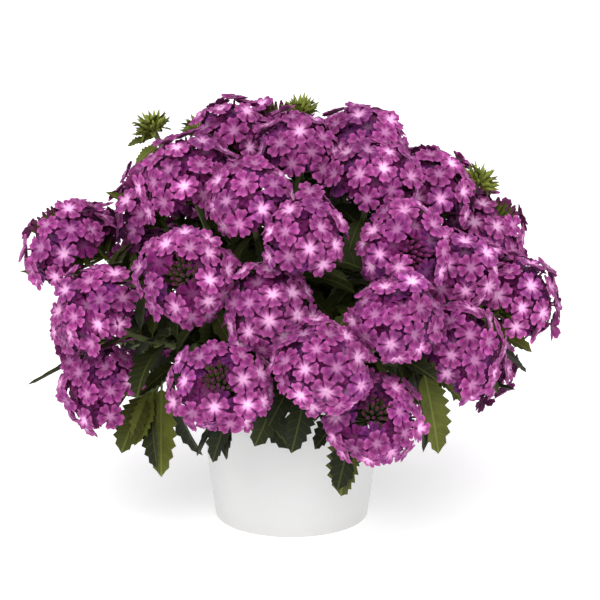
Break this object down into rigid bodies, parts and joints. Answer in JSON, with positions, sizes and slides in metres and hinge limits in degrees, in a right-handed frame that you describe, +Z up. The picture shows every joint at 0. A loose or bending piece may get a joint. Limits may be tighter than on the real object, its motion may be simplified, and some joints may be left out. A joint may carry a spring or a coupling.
{
  "type": "potted verbena",
  "caption": "Mounded garden verbena in full flower, growing in a plain tapered nursery pot that stands on its flat base.",
  "frame": {"origin": "the middle of the pot's flat underside, on the surface that the pot stands on", "axes": "+Z up, -Y towards the viewer of the picture, +X to the viewer's right"},
  "size_m": [0.3152, 0.3093, 0.26],
  "materials": {
    "pot": "plain white moulded plastic with a soft gloss",
    "soil": "dark crumbly peat and bark, matt",
    "foliage": "matt olive-green leaf and stem, finely hairy",
    "petals": "velvety magenta petal with a pale eye"
  },
  "bodies": {
    "root": {"pot": "pot", "soil": "soil", "leafy_stem_01": "foliage", "leafy_stem_02": "foliage", "leafy_stem_03": "foliage", "leafy_stem_04": "foliage", "leafy_stem_05": "foliage", "leafy_stem_06": "foliage", "leafy_stem_07": "foliage", "leafy_stem_08": "foliage", "leafy_stem_09": "foliage", "leafy_stem_10": "foliage", "leafy_stem_11": "foliage", "leafy_stem_12": "foliage", "leafy_stem_13": "foliage", "leafy_stem_14": "foliage", "flower_head_01": "petals", "flower_head_02": "petals", "flower_head_03": "petals", "flower_head_04": "petals", "flower_head_05": "petals", "flower_head_06": "petals", "flower_head_07": "petals", "flower_head_08": "petals", "flower_head_09": "petals", "flower_head_10": "petals", "flower_head_11": "petals", "flower_head_12": "petals", "flower_head_13": "petals", "flower_head_14": "petals", "flower_head_15": "petals", "flower_head_16": "petals", "flower_head_17": "petals", "flower_head_18": "petals", "flower_head_19": "petals", "flower_head_20": "petals", "flower_head_21": "petals", "flower_head_22": "petals", "flower_head_23": "petals", "flower_head_24": "petals", "flower_head_25": "petals", "flower_head_26": "petals", "flower_head_27": "petals", "flower_head_28": "petals", "flower_head_29": "petals", "flower_head_30": "petals", "flower_head_31": "petals", "flower_head_32": "petals", "flower_head_33": "petals", "flower_head_34": "petals", "flower_head_35": "petals", "flower_head_36": "petals", "flower_head_37": "petals", "flower_head_38": "petals", "flower_head_39": "petals", "flower_head_40": "petals", "flower_head_41": "petals", "flower_head_42": "petals", "flower_head_43": "petals"}
  },
  "joints": []
}
